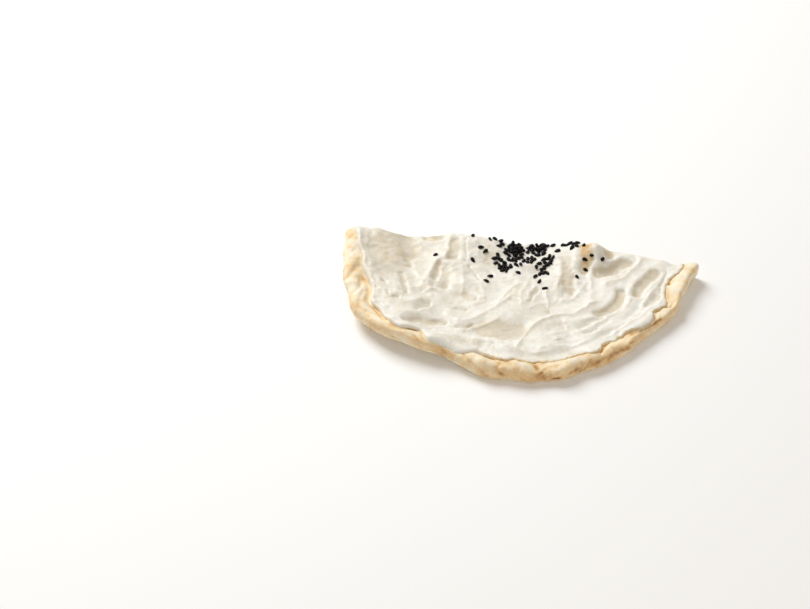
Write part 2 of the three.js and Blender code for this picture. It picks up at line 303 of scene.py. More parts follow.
# ---------------------------------------------------------------- heights of the spread
# Marks of the spoon: (height, half width, path)
RIDGES = [
    # middle
    (1.3, 1.6, [
        (4, -82), (7, -72), (12, -62), (19, -56), (27, -52), (35, -50), (43, -43), (47, -38),
    ]),
    (0.9, 1.5, [(-34, -65), (-24, -60), (-15, -52), (-8, -45), (-4, -40)]),
    (0.9, 1.4, [(-32, -73), (-23, -68), (-15, -64), (-10, -60)]),
    (0.7, 1.2, [(-11, -46), (-7, -37), (-3, -31), (2, -26)]),
    (0.6, 1.2, [(5, -27), (3, -33), (2, -40), (3, -45)]),
    (0.6, 1.2, [(10, -29), (7, -35), (7, -41)]),
    (0.7, 1.0, [(18, -32), (19, -41), (20, -49)]),
    (0.5, 1.3, [(8, -49), (15, -43), (24, -38)]),
    (0.8, 1.2, [(27, -38), (34, -36), (39, -29), (41, -22)]),
    (0.7, 1.0, [(44, -17), (45, -28), (45, -40)]),
    (0.5, 1.4, [(32, -57), (44, -53), (56, -50), (65, -44), (70, -33)]),
    (0.5, 1.4, [(55, -68), (66, -59), (77, -49), (85, -37)]),
    (0.5, 1.3, [(27, -72), (41, -68), (53, -62)]),
    (0.5, 1.5, [(18, -80), (31, -77), (44, -73)]),
    (0.8, 2.2, [(24, -7), (25, -18), (24, -29)]),
    # right
    (0.9, 2.8, [(68, -37), (70, -26), (73, -15), (80, -6)]),
    (1.0, 2.2, [(53, -21), (63, -15), (71, -7), (74, 3)]),
    (0.9, 2.2, [(46, 2), (47, -5), (49, -13)]),
    (0.8, 1.8, [(50, -6), (57, -2), (64, 3)]),
    (1.0, 1.5, [(77, -37), (82, -25), (88, -13), (94, -4)]),
    (0.9, 1.1, [(86, -36), (90, -26), (93, -16), (95, -8)]),
    (0.8, 1.2, [(62, -62), (70, -54), (78, -46), (84, -38)]),
    # left
    (1.2, 3.0, [(-47, 6), (-47, -4), (-49, -11), (-55, -18), (-57, -28), (-55, -40)]),
    (0.9, 3.2, [(-65, -24), (-61, -34), (-57, -43)]),
    (1.3, 5.0, [(-51, -8), (-56, -20), (-58, -32)]),
    (1.1, 3.0, [(-36, -18), (-36, -26), (-34, -38)]),
    (0.4, 1.4, [(-24, -31), (-20, -38), (-20, -46)]),
    (0.6, 1.6, [(-49, -21), (-45, -16), (-38, -16)]),
    (0.9, 2.2, [(-104, -4), (-101, -16), (-97, -28), (-90, -45)]),
    (0.4, 1.2, [(-99, -3), (-95, -22), (-92, -39)]),
    (0.6, 2.2, [(-70, -60), (-61, -55), (-52, -45)]),
    # front border
    (1.0, 3.4, [(-49, -84), (-40, -80), (-31, -77), (-22, -79)]),
    (0.8, 2.2, [(-23, -80), (-12, -80), (-1, -83), (12, -86), (23, -83)]),
]
DENTS = [
    # left
    (0.9, 7.0, [(-90, -8), (-85, -20)]),
    (1.5, 5.0, [(-72, -1), (-69, -12)]),
    (0.8, 2.0, [(-71, -14), (-69, -23)]),
    (1.2, 2.0, [(-61, 4), (-52, 4)]),
    (1.0, 3.0, [(-43, 2), (-42, -11)]),
    (0.5, 0.6, [(-36, 3), (-34, -14)]),
    (1.2, 1.8, [(-50, -17), (-51, -23), (-52, -31)]),
    (1.0, 3.0, [(-46, -23), (-44, -37)]),
    (0.9, 0.8, [(-31, -18), (-25, -27)]),
    (1.0, 3.5, [(-33, -40), (-27, -44)]),
    (0.7, 1.3, [(-59, -43), (-53, -38)]),
    (0.9, 1.2, [(-82, -42), (-81, -42.5)]),
    (0.9, 1.1, [(-86, -50), (-85, -50.5)]),
    (0.8, 1.3, [(-79, -53), (-78, -55)]),
    (1.0, 1.5, [(-74, -56), (-71, -55)]),
    (0.9, 1.6, [(-73, -31), (-67, -49)]),
    (0.9, 1.8, [(-59, -63), (-53, -55)]),
    (0.8, 1.2, [(-35, -55), (-30, -55)]),
    (1.0, 1.4, [(-33, -71), (-28, -71), (-24, -67)]),
    # front
    (1.2, 2.2, [(-65, -75), (-57, -71), (-49, -71), (-41, -69)]),
    (1.3, 8.0, [(-15, -70), (3, -70)]),
    (0.4, 1.0, [(-5, -69), (-1, -69)]),
    # middle
    (0.8, 1.4, [(13, -32), (10, -37), (8, -43)]),
    (0.8, 1.3, [(20, -47), (21, -51)]),
    (0.6, 1.2, [(-2, -43), (1, -45)]),
    (0.8, 1.8, [(41, -61), (47, -56), (54, -52)]),
    (0.5, 1.2, [(27, -74), (34, -70), (41, -68), (51, -62)]),
    (0.5, 1.2, [(44, -65), (52, -59), (57, -55)]),
    (0.6, 2.5, [(20, -67), (30, -62)]),
    (1.2, 4.0, [(29, -6), (30, -15), (33, -29)]),
    (0.5, 1.4, [(27, -20), (29, -21)]),
    (0.7, 1.6, [(40, -24), (44, -28)]),
    # right
    (2.5, 2.8, [(52, -48), (57, -45), (62, -40), (64, -34), (64, -29)]),
    (2.3, 3.0, [(50, -14), (55, -11), (60, -8), (67, -3)]),
    (2.0, 3.2, [(74, -28), (77, -21), (81, -14), (85, -9)]),
    (1.0, 2.0, [(81, -37), (84, -33), (87, -29)]),
    (1.1, 1.0, [(92, -8), (90, -13), (88, -19), (88, -25)]),
    (0.8, 0.9, [(64, -60), (71, -53), (78, -45)]),
    (0.5, 1.5, [(71, 4), (71, -2)]),
    (0.4, 3.0, [(78, -2), (84, 3)]),
    (1.5, 3.6, [(40, 4), (42, -5), (40, -13)]),
    (1.4, 4.0, [(52, 6), (55, 1)]),
]
# Patches where the spread is rough: (x, y, half width)
ROUGH = [(-80, -46, 13), (-56, -42, 9), (-12, -84, 7), (-30, -70, 9), (30, -25, 8), (-25, -8, 10)]


def roughness(x, y):
    """Small peaks that the spoon pulled up."""
    there = 0.2 + sum(hump(np.hypot(x - at, y - to), 0, wide) for at, to, wide in ROUGH)
    return np.minimum(1.2, there) * 0.28 * lumps(x, y, 3.4, 15, 2)


def sweeps(angle, radius):
    """Long strokes that follow the round edge at the right front."""
    there = ease(278, 296, angle) * ease(352, 336, angle) * ease(60, 74, radius)
    wander = 1.2 * grain(angle / 6, radius / 12, 1.0, 5)
    return there * (
        0.17 * np.sin((radius + 0.08 * (angle - 300)) / 1.1 + wander)
        + 0.16 * grain(radius, angle / 3, 2.6, 8)
    )


def wander_off(x, y):
    return x + 1.2 * lumps(x, y, 13, 2), y + 1.2 * lumps(x, y, 13, 4)


def spread_depth(angle, radius, x, y):
    """Thickness of the spread, before its edge is rounded."""
    wander = wander_off(x, y)
    rough = 1 - 0.65 * np.maximum(ease(28, 46, x), hump(np.hypot(x - 4, y + 62), 0, 26))
    facets = np.sqrt(grain(wander[0] + 0.6 * y, wander[1] * 1.5, 19, 3) ** 2 + 0.004)
    scuffs = np.sqrt(grain(wander[0], wander[1] * 1.3, 6.5, 7) ** 2 + 0.01)
    depth = (
        SPREAD_THICKNESS
        + 1.1 * crests(RIDGES, *wander)
        - 1.1 * scoops(DENTS, *wander)
        + sweeps(angle, radius)
        + roughness(x, y)
        + mix(0.9, 1.8, rough) * grain(x, y, 23, 1)
        + 0.4 - 1.7 * rough * facets
        - 0.5 * rough * scuffs
    )
    from_edge = MARK_RADIUS - through(BARE, angle) - radius
    depth = depth * (1 - 0.82 * feathered(angle) * ease(14, 0, from_edge))
    over_least = depth - LEAST_SPREAD
    return LEAST_SPREAD + 0.5 * (over_least + np.sqrt(over_least**2 + 0.25))


def spread_top(angle, share, x, y):
    edge = spread_edge(angle)
    depth = spread_depth(angle, share * edge, x, y)
    inset = outline(angle) - share * edge
    thinning = feathered(angle)
    slope = 2.2 + 3.8 * hump(angle, 250, 14) + 0.4 * thinning + 0.3 * ripple(angle, 19, 30)
    turned = 1 - np.clip(edge * (1 - share) / slope, 0, 1)
    rounded = np.maximum(0, 1 - turned**2) ** mix(0.5, 0.9, thinning)
    sunk = -0.25 - 0.35 * thinning
    return bread_top(angle, inset, x, y) + GAP * rounded + mix(sunk, depth, rounded)


# ---------------------------------------------------------------- meshes
def new_object(name, shape):
    mesh = bpy.data.meshes.new(name)
    shape.to_mesh(mesh)
    shape.free()
    thing = bpy.data.objects.new(name, mesh)
    scene.collection.objects.link(thing)
    return thing


def half_slab(name, rings, layers):
    """A closed slab under a half disc: u runs along the cut, v towards the round edge and w
    down. Its cut side is divided into layers. Returns the object and u, v, w of each vertex."""
    shape = bmesh.new()
    bmesh.ops.create_grid(shape, x_segments=2 * rings, y_segments=rings, size=1)
    made = bmesh.ops.extrude_face_region(shape, geom=shape.faces[:], use_keep_orig=True)
    lower = [part for part in made["geom"] if isinstance(part, bmesh.types.BMVert)]
    bmesh.ops.translate(shape, verts=lower, vec=(0, 0, -1))
    cut_side = [
        edge for edge in shape.edges
        if abs(edge.verts[0].co.z - edge.verts[1].co.z) > 0.5 and edge.verts[0].co.y > 0.999
    ]
    bmesh.ops.subdivide_edges(shape, edges=cut_side, cuts=layers - 1, use_grid_fill=True)
    bmesh.ops.recalc_face_normals(shape, faces=shape.faces[:])
    piece = new_object(name, shape)
    points = corners(piece.data)
    return piece, points[:, 0], (1 - points[:, 1]) / 2, -points[:, 2]


def corners(mesh):
    flat = np.empty(3 * len(mesh.vertices), np.float32)
    mesh.vertices.foreach_get("co", flat)
    return flat.reshape(-1, 3).astype(float)


def move(mesh, points):
    mesh.vertices.foreach_set("co", points.astype(np.float32).ravel())
    mesh.update()


def outward(mesh):
    flat = np.empty(3 * len(mesh.vertices), np.float32)
    mesh.vertex_normals.foreach_get("vector", flat)
    return flat.reshape(-1, 3).astype(float)


def fan(u, v):
    """The ring, from 0 to 1, and the angle of a point of the half square, at even area."""
    ring = np.maximum(np.abs(u), v)
    safe = np.maximum(ring, 1e-9)
    left = 180 + 45 * v / safe
    front = 225 + 45 * (u / safe + 1)
    right = 315 + 45 * (1 - v / safe)
    return ring, np.where(v >= np.abs(u), front, np.where(u < 0, left, right))


def note(mesh, name, values):
    mesh.attributes.new(name, "FLOAT", "POINT").data.foreach_set(
        "value", np.asarray(values, np.float32)
    )


def finish_piece(piece, material, slot, *stands_for):
    """Welds the seams, moves the mesh onto the model and hands it to the frame."""
    mesh = piece.data
    weld = bmesh.new()
    weld.from_mesh(mesh)
    bmesh.ops.remove_doubles(weld, verts=weld.verts[:], dist=0.01)
    bmesh.ops.recalc_face_normals(weld, faces=weld.faces[:])
    weld.to_mesh(mesh)
    weld.free()
    move(mesh, (corners(mesh) + TO_MODEL) * MM)
    mesh.polygons.foreach_set("use_smooth", np.ones(len(mesh.polygons), bool))
    mesh.materials.append(material)
    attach(piece, "root")
    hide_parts(*stands_for)


# ---------------------------------------------------------------- shader helpers
class Shader:
    """A material whose nodes are added one by one."""

    def __init__(self, name):
        self.material = bpy.data.materials.new(name)
        self.material.use_nodes = True
        self.tree = self.material.node_tree
        self.surface = self.tree.nodes["Principled BSDF"]
        self.where = self.add("ShaderNodeTexCoord").outputs["Object"]

    def add(self, kind, links=None, **settings):
        node = self.tree.nodes.new(kind)
        for key, value in settings.items():
            setattr(node, key, value)
        for key, value in (links or {}).items():
            self.feed(node.inputs[key], value)
        return node

    def noise(self, scale, detail=3.0, roughness=0.55):
        links = {"Vector": self.where, "Scale": scale, "Detail": detail, "Roughness": roughness}
        return self.add("ShaderNodeTexNoise", links).outputs["Fac"]

    def cells(self, scale):
        links = {"Vector": self.where, "Scale": scale}
        return self.add("ShaderNodeTexVoronoi", links).outputs["Distance"]

    def attribute(self, name):
        return self.add("ShaderNodeAttribute", attribute_name=name).outputs["Fac"]

    def feed(self, socket, value):
        """Links a socket to a node, or sets it to a number or a colour."""
        if isinstance(value, bpy.types.NodeSocket):
            self.tree.links.new(value, socket)
        elif socket.type == "RGBA":
            socket.default_value = (*value, 1)
        else:
            socket.default_value = value

    def maths(self, operation, *values):
        node = self.add("ShaderNodeMath", operation=operation)
        for socket, value in zip(node.inputs, values):
            self.feed(socket, value)
        return node.outputs[0]

    def between(self, value, low, high, to_low=0.0, to_high=1.0):
        links = {
            "Value": value, "From Min": low, "From Max": high, "To Min": to_low, "To Max": to_high,
        }
        return self.add("ShaderNodeMapRange", links).outputs[0]

    def ramp(self, value, stops):
        node = self.add("ShaderNodeValToRGB", {"Fac": value})
        parts = node.color_ramp.elements
        while len(parts) < len(stops):
            parts.new(1.0)
        for part, (at, colour) in zip(parts, stops):
            part.position = at
            part.color = (*colour, 1)
        return node.outputs["Color"]

    def blend(self, share, a, b):
        node = self.add("ShaderNodeMix", data_type="RGBA", blend_type="MIX")
        for place, value in ((0, share), (6, a), (7, b)):
            self.feed(node.inputs[place], value)
        return node.outputs[2]

    def bump(self, height, strength, depth_mm):
        links = {"Height": height, "Strength": strength, "Distance": depth_mm * MM}
        return self.add("ShaderNodeBump", links).outputs[0]

    def set(self, **values):
        """Sets the sockets of the surface, which are named with _ for each space."""
        for key, value in values.items():
            self.feed(self.surface.inputs[key.replace("_", " ")], value)


def bread_material():
    """Pale baked dough with golden patches, scorched spots and a dusting of flour; part of its golden
    brown is painted shade.
    """
    shader = Shader("baked_dough")
    # Baked colour, which also carries painted shade in the rim's creases and on its front wall.
    bake_and_shade = shader.attribute("bake_and_shade")
    broad = shader.between(shader.noise(90, 4), 0.35, 0.7, -0.16, 0.2)
    fine = shader.between(shader.noise(420, 3), 0.3, 0.7, -0.07, 0.07)
    level = shader.maths("ADD", shader.maths("ADD", bake_and_shade, broad), fine)
    crust = shader.ramp(level, [
        (0.0, (0.93, 0.84, 0.68)),
        (0.2, (0.92, 0.75, 0.49)),
        (0.45, (0.82, 0.56, 0.28)),
        (0.7, (0.53, 0.28, 0.10)),
        (1.0, (0.12, 0.045, 0.02)),
    ])
    flour = shader.between(shader.noise(260, 4, 0.7), 0.52, 0.72, 0.0, 0.25)
    skin = shader.blend(flour, crust, (0.92, 0.84, 0.69))
    inside = shader.attribute("crumb")
    pores_and_shade = shader.between(shader.cells(560), 0.15, 0.55, 1.0, 0.0)
    # Painted shade: the dough is darker inside each pore.
    dough = shader.blend(pores_and_shade, (0.80, 0.69, 0.50), (0.69, 0.56, 0.38))
    pits = shader.maths("MULTIPLY", inside, pores_and_shade)
    height = shader.maths("SUBTRACT", shader.noise(900, 4, 0.65), pits)
    shader.set(
        Base_Color=shader.blend(inside, skin, dough),
        Roughness=shader.between(shader.noise(200), 0.3, 0.7, 0.62, 0.85),
        Subsurface_Weight=0.2,
        Subsurface_Radius=(0.9, 0.45, 0.2),
        Subsurface_Scale=0.002,
        Normal=shader.bump(height, 0.4, 0.25),
    )
    return shader.material


def labneh_material():
    """Thick strained yoghurt, satin and slightly see-through, tan where it is spread thinly, and
    greyer where shade is painted into it.
    """
    shader = Shader("strained_yoghurt")
    thin_and_shade = shader.attribute("thin_and_shade")
    blotch = shader.between(shader.noise(260, 4, 0.65), 0.3, 0.7, -0.09, 0.11)
    stronger = shader.between(thin_and_shade, 0.2, 0.7, 1.0, 2.6)
    mottled = shader.maths("ADD", thin_and_shade, shader.maths("MULTIPLY", blotch, stronger))
    cream = shader.ramp(mottled, [
        (0.0, (0.92, 0.895, 0.83)),
        # 0.25: grey-tan, for spread lying thinly and for painted shade.
        (0.25, (0.73, 0.665, 0.54)),
        (0.5, (0.74, 0.59, 0.38)),
        (0.75, (0.72, 0.47, 0.20)),
        (1.0, (0.52, 0.27, 0.09)),
    ])
    tint = shader.between(shader.noise(70, 2), 0.35, 0.65, 0.0, 0.35)
    tint = shader.maths("MULTIPLY", tint, shader.between(thin_and_shade, 0.2, 0.5, 1.0, 0.0))
    shader.set(
        Base_Color=shader.blend(tint, cream, (0.88, 0.835, 0.74)),
        Roughness=shader.between(shader.noise(160), 0.3, 0.7, 0.42, 0.58),
        Subsurface_Weight=0.35,
        Subsurface_Radius=(1.0, 0.8, 0.6),
        Subsurface_Scale=0.0025,
        Normal=shader.bump(shader.noise(620, 5, 0.7), 0.55, 0.3),
    )
    return shader.material


def seed_material():
    """Black seeds with a dull sheen and pitted skin."""
    shader = Shader("black_seed")
    speckle = shader.noise(1500, 2)
    shader.set(
        Base_Color=shader.ramp(speckle, [
            (0.3, (0.003, 0.003, 0.003)), (0.6, (0.009, 0.008, 0.008)), (0.8, (0.022, 0.02, 0.018)),
        ]),
        Roughness=shader.between(speckle, 0.3, 0.7, 0.42, 0.62),
        Specular_IOR_Level=0.16,
        Normal=shader.bump(shader.noise(2600, 2), 0.6, 0.12),
    )
    return shader.material


# ---------------------------------------------------------------- the bread
BREAD_RINGS = 150
BREAD_LAYERS = 9
FOOT = 0.5  # the ring at which the rim starts
LIP = 0.78  # the ring at which the crust starts to turn over
RIM_START = 18  # how far in from the round edge the ring FOOT lies
WIDEST_AT = 3  # how far across the rim its widest line lies
BELOW_WIDEST = 6  # length of crust from its widest line to the underside

# Folds of the rim: (depth, half width, path), each point an angle and a distance across the
# rim, which is minus the inset on top and runs on to 3 at the widest line
RIM_FOLDS = [
    # front
    (0.9, 2.0, [(279, -8.5), (280.2, -5.8)]),
    (0.6, 1.3, [(267.2, -6.5), (269.8, -6.8), (271, -5.4)]),
    (0.6, 1.4, [(281.8, -8.5), (283.8, -5.7), (286.5, -5.4), (289, -6.5)]),
    (0.7, 1.2, [(267.8, -5.9), (266.5, -3.2), (267, -1.1), (268.8, 0.8)]),
    (0.6, 1.2, [(253.8, -5.2), (255.5, -3.2), (257.2, -2.2)]),
    (0.5, 1.4, [(261.8, -13), (264.2, -10.5), (266.5, -6.1)]),
    (0.4, 1.6, [(257.2, -1.1), (261.2, 0.8), (264, 2.1)]),
    (0.4, 1.1, [(281.2, -2), (283, -4.3), (284.5, -2), (284, 0.7), (282, 1.1)]),
    (0.5, 1.1, [(293.2, -1.7), (293, 2.2)]),
    (0.5, 1.0, [(295.5, -5.2), (295.8, -1.1), (294.5, 3)]),
    (0.6, 1.0, [(298.5, -2), (297, 1.4), (295.2, 3)]),
    # right
    (1.1, 1.1, [(308.8, -10), (305.8, -8.1), (303.5, -4.9)]),
    (0.7, 1.0, [(318, -4.6), (321.2, -2.8), (325, -2.4), (328.2, -1.6)]),
    (0.4, 0.8, [(325, -1.5), (325.5, 2.3)]),
    (0.6, 0.9, [(329.8, -3.8), (333.8, -7.2), (336.8, -6.1), (337.8, -3), (340.8, -3.1)]),
    (0.5, 0.9, [(341.5, -5.4), (345.8, -8.7), (350.8, -10.7), (355.2, -10.3), (359.5, -9.4)]),
    # left
    (1.0, 1.5, [(218.2, -12.3), (221, -10.9), (225, -7.6)]),
    (0.9, 1.8, [(204.5, -10.5), (208, -8), (210.5, -4)]),
    (0.9, 2.0, [(198.5, -9.5), (201.5, -6), (203.5, -1)]),
    (0.6, 1.6, [(210.5, -9.5), (214, -6.2), (216.5, -3)]),
    (0.6, 1.8, [(191, -7), (193.5, -3)]),
    (0.4, 1.8, [(184, -5), (186, -1)]),
    (0.6, 1.2, [(219, -4.1), (221.2, -2.2)]),
    (0.6, 1.1, [(224.5, 1.6), (226.5, 1.8)]),
    (1.0, 1.2, [(228.8, -7.4), (231.5, -6.4), (234.5, -9.5)]),
    (0.6, 0.7, [(237, -3.6), (239, -0.7)]),
    (0.6, 0.7, [(238.8, -5.7), (241.2, -2)]),
    (0.6, 0.7, [(237.2, -9.4), (238, -8)]),
]
# Puffs of the rim: (height, half width, path)
RIM_PUFFS = [
    (0.8, 3.0, [(258, -7), (262, -5)]),
    (0.8, 2.6, [(271, -2), (276, -2)]),
    (0.7, 2.4, [(286, -1), (291, -3)]),
    (0.9, 2.2, [(308, -5), (312, -5)]),
    (0.8, 2.4, [(331, -1), (336, -2)]),
    (2.4, 3.4, [(340, -1), (346, -2), (352, -2.5), (359, -2)]),
    (0.9, 2.4, [(204, -1), (206, -5)]),
    (0.9, 2.4, [(210, -5), (213, -8)]),
    (0.8, 3.0, [(193, -3), (195, -8)]),
]
# Scorched spots: (strength, half width, path)
SCORCHES = [
    (0.4, 1.8, [(279.3, -7.5), (280.2, -6)]),
    (0.24, 1.4, [(306, 1), (308, 0), (310.8, -1.1)]),
    (0.2, 1.2, [(298.8, 1.5), (301.2, 0.4), (303.8, -0.7)]),
    (0.25, 1.1, [(291, 1.5), (294, 1)]),
    (0.25, 1.4, [(312, 0), (314, 1)]),
    (0.35, 0.8, [(315.2, -1.6), (316.5, -0.7)]),
    (0.3, 0.9, [(325, -2.4), (331, -1.2)]),
    (0.35, 1.0, [(285, 3), (287.2, 3)]),
    (0.25, 1.6, [(189, -3.8), (189.3, -4)]),
    (0.25, 1.3, [(198.5, 1.9), (201.8, 0.8)]),
]


def rim_marks(marks, along, across, edge):
    """Sum of (size, half width, path) marks on the rim."""
    total = np.zeros(np.shape(along))
    for size, width, path in marks:
        unrolled = [(math.radians(at) * MARK_RADIUS, to) for at, to in path]
        off = distance_to_path(along * MARK_RADIUS / edge, across, unrolled)
        total += size * np.exp(-((off / width) ** 2))
    return total


def bread():
    piece, u, v, w = half_slab("bread_crust", BREAD_RINGS, BREAD_LAYERS)
    ring, angle = fan(u, v)
    edge = outline(angle)

    # Rings: even out to the foot of the rim, closer over the rim, then round the lip.
    over = np.clip((ring - LIP) / (1 - LIP), 0, 1) * math.pi / 2
    on_rim = np.clip((ring - FOOT) / (LIP - FOOT), 0, 1)

    def inset_at(turn):
        inner = edge - (edge - RIM_START) * np.clip(ring / FOOT, 0, 1)
        turning = turn * (1 - np.sin(over) ** 0.75)
        outer = np.where(ring < LIP, mix(RIM_START, turn, on_rim), turning)
        return np.where(ring < FOOT, inner, outer)

    rounding = crust_rounding(angle)
    top_inset = inset_at(rounding)
    low_inset = inset_at(CRUST_UNDERCUT)
    top_x, top_y = place(angle, edge - top_inset)
    low_x, low_y = place(angle, edge - low_inset)
    crest = bread_crest(angle, top_inset, top_x, top_y)
    widest = lean(top_x, top_y) + WIDEST_HEIGHT
    squarer = 0.75 + 0.3 * fuller(angle) - 0.38 * ease(325, 342, angle)
    top_z = np.where(ring < LIP, crest, widest + (crest - widest) * np.cos(over) ** squarer)
    low_z = lean(low_x, low_y) + np.where(ring < LIP, 0, WIDEST_HEIGHT * (1 - np.cos(over)))
    points = np.stack([mix(top_x, low_x, w), mix(top_y, low_y, w), mix(top_z, low_z, w)], -1)
    mesh = piece.data
    move(mesh, points)

    # Relief along the surface: folds and puffs on the rim, crumb on the cut.
    upper = w < 0.5
    turned = over / (math.pi / 2)
    above = np.where(ring < LIP, -top_inset, mix(-rounding, WIDEST_AT, turned))
    under_foot = np.where(ring < LIP, low_inset - CRUST_UNDERCUT, 0)
    below = WIDEST_AT + BELOW_WIDEST * (1 - turned) + under_foot
    across = np.where(upper, above, below)
    along = np.radians(angle) * edge
    on_wall = ease(FOOT, FOOT + 0.12, ring) * np.where(upper, 1, ease(0.84, 0.94, ring))
    folds = rim_marks(RIM_FOLDS, along, across, edge)
    puffs = rim_marks(RIM_PUFFS, along, across, edge)
    wrinkles = creases(along + 0.7 * across, across * 0.9, 10, 17)
    calm = mix(0.5, 1, ease(212, 222, angle))
    relief = (
        calm * 0.45 * lumps(along + 0.3 * across, across * 1.2, 11, 11, 2)
        + 0.1 * lumps(along, across, 3.6, 13)
        - calm * mix(0.3, 0.15, ease(225, 255, angle)) * wrinkles
        - 0.06 * creases(along - 0.6 * across, across * 1.2, 3.4, 19)
        + puffs
        - folds
    )
    skin = 0.06 * lumps(points[:, 0], points[:, 1] + points[:, 2], 1.6, 23)
    groove, golden = groove_beside_spread(angle, top_inset)
    amount = on_wall * relief + skin - np.where(upper, groove, 0)
    amount = np.where(~upper & (ring < 0.84), 0, amount)
    cut = (v < 1e-6) & (ring < 0.97)
    on_cut = np.where(cut & (w > 0.02) & (w < 0.98), 1, 0)
    holes = ease(0.15, 0.7, grain(points[:, 0], points[:, 2] * 1.8, 3.6, 31))
    crumb = 0.3 * lumps(points[:, 0], points[:, 2] * 1.6, 2.6, 29) - 0.9 * holes
    moved = np.where(on_cut > 0, crumb, amount)
    points = points + outward(mesh) * moved[:, None]
    points[:, 2] = np.where(w > 0.5, np.maximum(points[:, 2], 0), points[:, 2])
    move(mesh, points)

    # How far each spot is baked, from pale through golden to scorched; the creases, the crease beside
    # the spread and the front's outer wall are also darkened here with painted shade.
    # Painted shade: the rim's hollows get browner crust, where shade falls in them.
    hollow = np.clip(-relief / 1.4, 0, 1) * on_wall
    bake_and_shade = (
        0.06
        # Browner at the front and down the rim's outer wall: partly baked colour, partly painted
        # shade on the side turned from the key light.
        + 0.1 * hump(angle, 282, 28)
        + 0.07 * lumps(along, across * 1.3, 13, 37)
        + 0.05 * lumps(along, across, 4, 41)
        + (0.12 + 0.18 * hump(angle, 290, 40)) * ease(-7, 1, across)
        + 0.35 * hollow
        # golden: painted shade in the crease beside the spread.
        + np.where(upper, golden, 0)
        + rim_marks(SCORCHES, along, across, edge)
    )
    brown = ease(0.2, 0.9, lumps(points[:, 0], points[:, 1], 8, 45))
    under = 0.22 + 0.12 * lumps(points[:, 0], points[:, 1], 14, 43) + 0.3 * brown
    bake_and_shade = np.where(~upper & ~cut, mix(bake_and_shade, under, ease(1.0, 0.86, ring)), bake_and_shade)
    crumb_bake = 0.2 + 0.1 * lumps(points[:, 0], points[:, 2], 3, 47) + 0.15 * ease(0.75, 1, w)
    bake_and_shade = np.where(on_cut > 0, crumb_bake, bake_and_shade)
    note(mesh, "bake_and_shade", np.clip(bake_and_shade, 0, 1))
    note(mesh, "crumb", on_cut * ease(1, 0.8, w) * ease(0, 0.15, w))
    finish_piece(piece, bread_material(), "bread", "bread")


def groove_beside_spread(angle, inset):
    """A crease in the bread just outside the spread, widest at the front left: its depth, and how
    golden it is, which is painted shade in the crease between spread and bread."""
    left = hump(angle, 217, 14) + 0.6 * hump(angle, 235, 4)
    line = hump(bare_rim(angle) - inset, 0.8 + 0.7 * left, 1.1 + left)
    return (0.06 + 0.9 * left) * line, (0.1 + 0.14 * left) * line


# ---------------------------------------------------------------- the spread
SPREAD_RINGS = 154
SPREAD_LAYERS = 4
GREYEST = 0.27  # past this, "thin_and_shade" lets the bread show through
# Where the spread is painted greyer: painted shade, strongest over the left plateau, and spread lying
# thinly enough to look grey: (x, y, half width, half length, strength)
SHADE_AND_SHEER_SPOTS = [
    (-70, -30, 42, 50, 0.12), (8, -45, 32, 30, 0.08),
    (-86, -14, 14, 20, 0.2), (-68, -6, 7, 8, 0.15), (-30, -84, 14, 4, 0.2), (-76, -2, 3, 12, 0.15),
    (-45, -10, 3, 8, 0.15), (0, -36, 2, 8, 0.2), (28, -20, 4, 8, 0.15), (14, -10, 6, 5, 0.2),
    (-3, -70, 7, 5, 0.1), (36, -83, 5, 3, 0.2), (-77, -57, 4, 3, 0.15), (62, -12, 7, 7, 0.1),
]
# Where the bread shows through, and painted shade on the flanks of the blister at the right
BARE_AND_SHADE_SPOTS = [
    (41, 7, 4.5, 5, 0.55), (38.5, 0, 4, 5, 0.22), (41, -6, 4, 6, 0.3), (54, 4, 6, 7, 0.15),
    (20, -50, 2.5, 2.5, 0.2), (-20, -6, 7, 8, 0.16), (-57, 4, 6, 2.5, 0.12), (12, -66, 3, 4, 0.1),
    (20, -88, 4, 2, 0.25),
]


def patches(places, x, y):
    """Sum of soft patches, each (x, y, half width, half length, strength)."""
    return sum(
        size * hump(np.hypot((x - at) / wide, (y - to) / long), 0, 1)
        for at, to, wide, long, size in places
    )


def spread():
    piece, u, v, w = half_slab("labneh_spread", SPREAD_RINGS, SPREAD_LAYERS)
    ring, angle = fan(u, v)
    share = ring + 0.25 * (ring - ring**2) * ring
    edge = spread_edge(angle)
    x, y = place(angle, share * edge)
    top = spread_top(angle, share, x, y)
    low = bread_top(angle, outline(angle) - share * edge, x, y) - 0.5 - 0.4 * feathered(angle)
    points = np.stack([x, y, mix(top, low, w)], -1)
    cut = v < 1e-6
    bulge = 0.35 * np.sin(np.clip(w, 0, 1) * math.pi) + 0.25 * lumps(x, 3 * w, 5, 53) * (w > 0)
    points[:, 1] += np.where(cut, bulge, 0) - np.where(cut & (w < 0.02), 0.35, 0)
    move(piece.data, points)
    depth = spread_depth(angle, share * edge, x, y)
    uneven = 2.4 + 1.3 * lumps(x, y, 5, 59)
    border = ragged(angle) * ease(np.maximum(1, uneven), 0.3, edge * (1 - share))
    # Grey-tan in the spoon's troughs: partly the spread lying thinly, partly painted shade in them.
    dent_tint_and_shade = ease(0.4, 1.2, scoops(DENTS, *wander_off(x, y)))
    sheer_and_shade = 0.15 * ease(1.6, 0.5, depth) + 0.24 * dent_tint_and_shade + patches(SHADE_AND_SHEER_SPOTS, x, y)
    thin_and_shade = np.minimum(sheer_and_shade, GREYEST) + 0.55 * border + patches(BARE_AND_SHADE_SPOTS, x, y)
    note(piece.data, "thin_and_shade", np.clip(thin_and_shade, 0, 1))
    finish_piece(piece, labneh_material(), "labneh", "labneh")


# ---------------------------------------------------------------- the seeds
# Heaps: (count, x, y, half length along the cut, half width)
HEAPS = [(22, -5, 1, 5.5, 9), (14, 9.5, 4.5, 6.5, 5), (5, 5, -5, 4, 3), (4, -14, -10, 3, 4)]
ON_TOP = [(13, -5, 3, 4.5, 6), (8, 10, 6, 5, 3), (2, -10, -13, 2, 2)]
